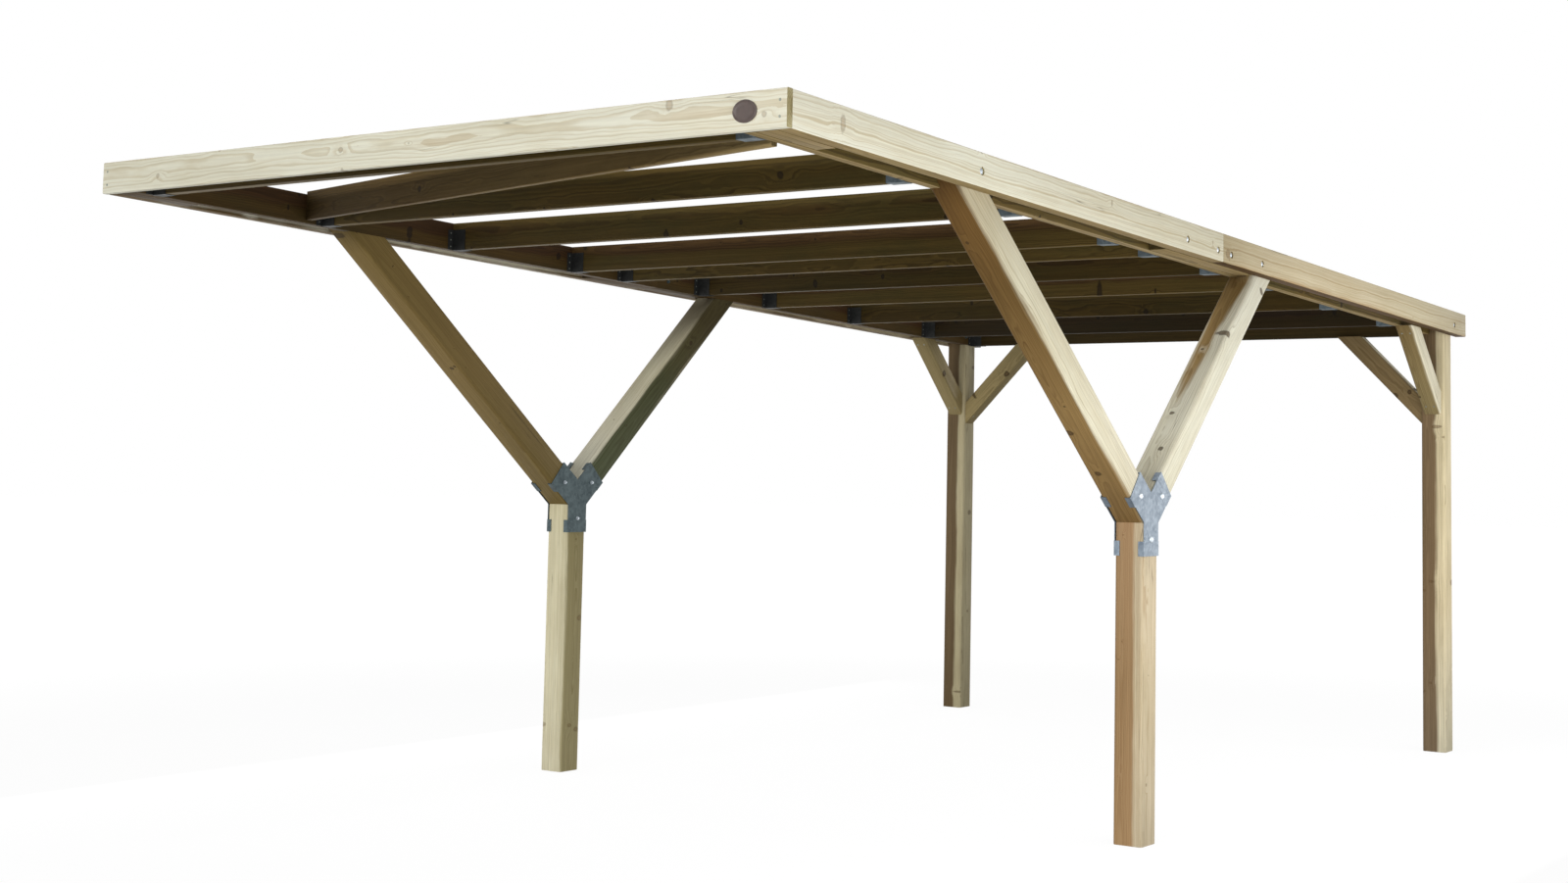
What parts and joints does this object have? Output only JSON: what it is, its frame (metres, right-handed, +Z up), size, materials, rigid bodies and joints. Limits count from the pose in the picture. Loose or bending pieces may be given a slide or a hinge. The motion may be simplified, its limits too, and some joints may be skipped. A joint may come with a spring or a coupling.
{
  "type": "flat-roofed timber carport frame",
  "caption": "Open single-bay carport frame of treated timber: double side beams on Y posts at the front and knee-braced posts at the rear, with joists hung between them.",
  "frame": {"origin": "on the floor, under the middle of the roof frame", "axes": "+X to the right seen from the front, +Y from the front to the back, +Z up"},
  "size_m": [3.26, 6.256, 2.5595],
  "materials": {
    "pale_timber": "planed pressure-treated softwood",
    "weathered_timber": "planed pressure-treated softwood, browner",
    "galvanised_steel": "hot-dip galvanised sheet",
    "dark_plaque": "plain dark plaque"
  },
  "bodies": {
    "root": {"diagonal_brace": "weathered_timber", "fascia_badge": "dark_plaque", "front_fascia": "pale_timber", "front_joist": "weathered_timber", "front_left_post": "pale_timber", "front_right_post": "pale_timber", "joist_1": "weathered_timber", "joist_2": "weathered_timber", "joist_3": "weathered_timber", "joist_4": "weathered_timber", "joist_5": "weathered_timber", "joist_6": "weathered_timber", "joist_7": "weathered_timber", "joist_8": "weathered_timber", "left_backward_arm": "pale_timber", "left_forward_arm": "pale_timber", "left_forward_knee": "pale_timber", "left_front_packing": "weathered_timber", "left_inner_beam_front": "weathered_timber", "left_inner_beam_rear": "weathered_timber", "left_inward_knee": "pale_timber", "left_joist_hangers": "galvanised_steel", "left_outer_beam_front": "pale_timber", "left_outer_beam_rear": "weathered_timber", "left_splice_block": "weathered_timber", "left_y_plates": "galvanised_steel", "rear_left_post": "pale_timber", "rear_right_post": "pale_timber", "rear_rim": "weathered_timber", "right_backward_arm": "pale_timber", "right_forward_arm": "pale_timber", "right_forward_knee": "pale_timber", "right_front_packing": "weathered_timber", "right_inner_beam_front": "weathered_timber", "right_inner_beam_rear": "weathered_timber", "right_inward_knee": "pale_timber", "right_joist_hangers": "galvanised_steel", "right_outer_beam_front": "pale_timber", "right_outer_beam_rear": "weathered_timber", "right_splice_block": "weathered_timber", "right_y_plates": "galvanised_steel"}
  },
  "joints": []
}
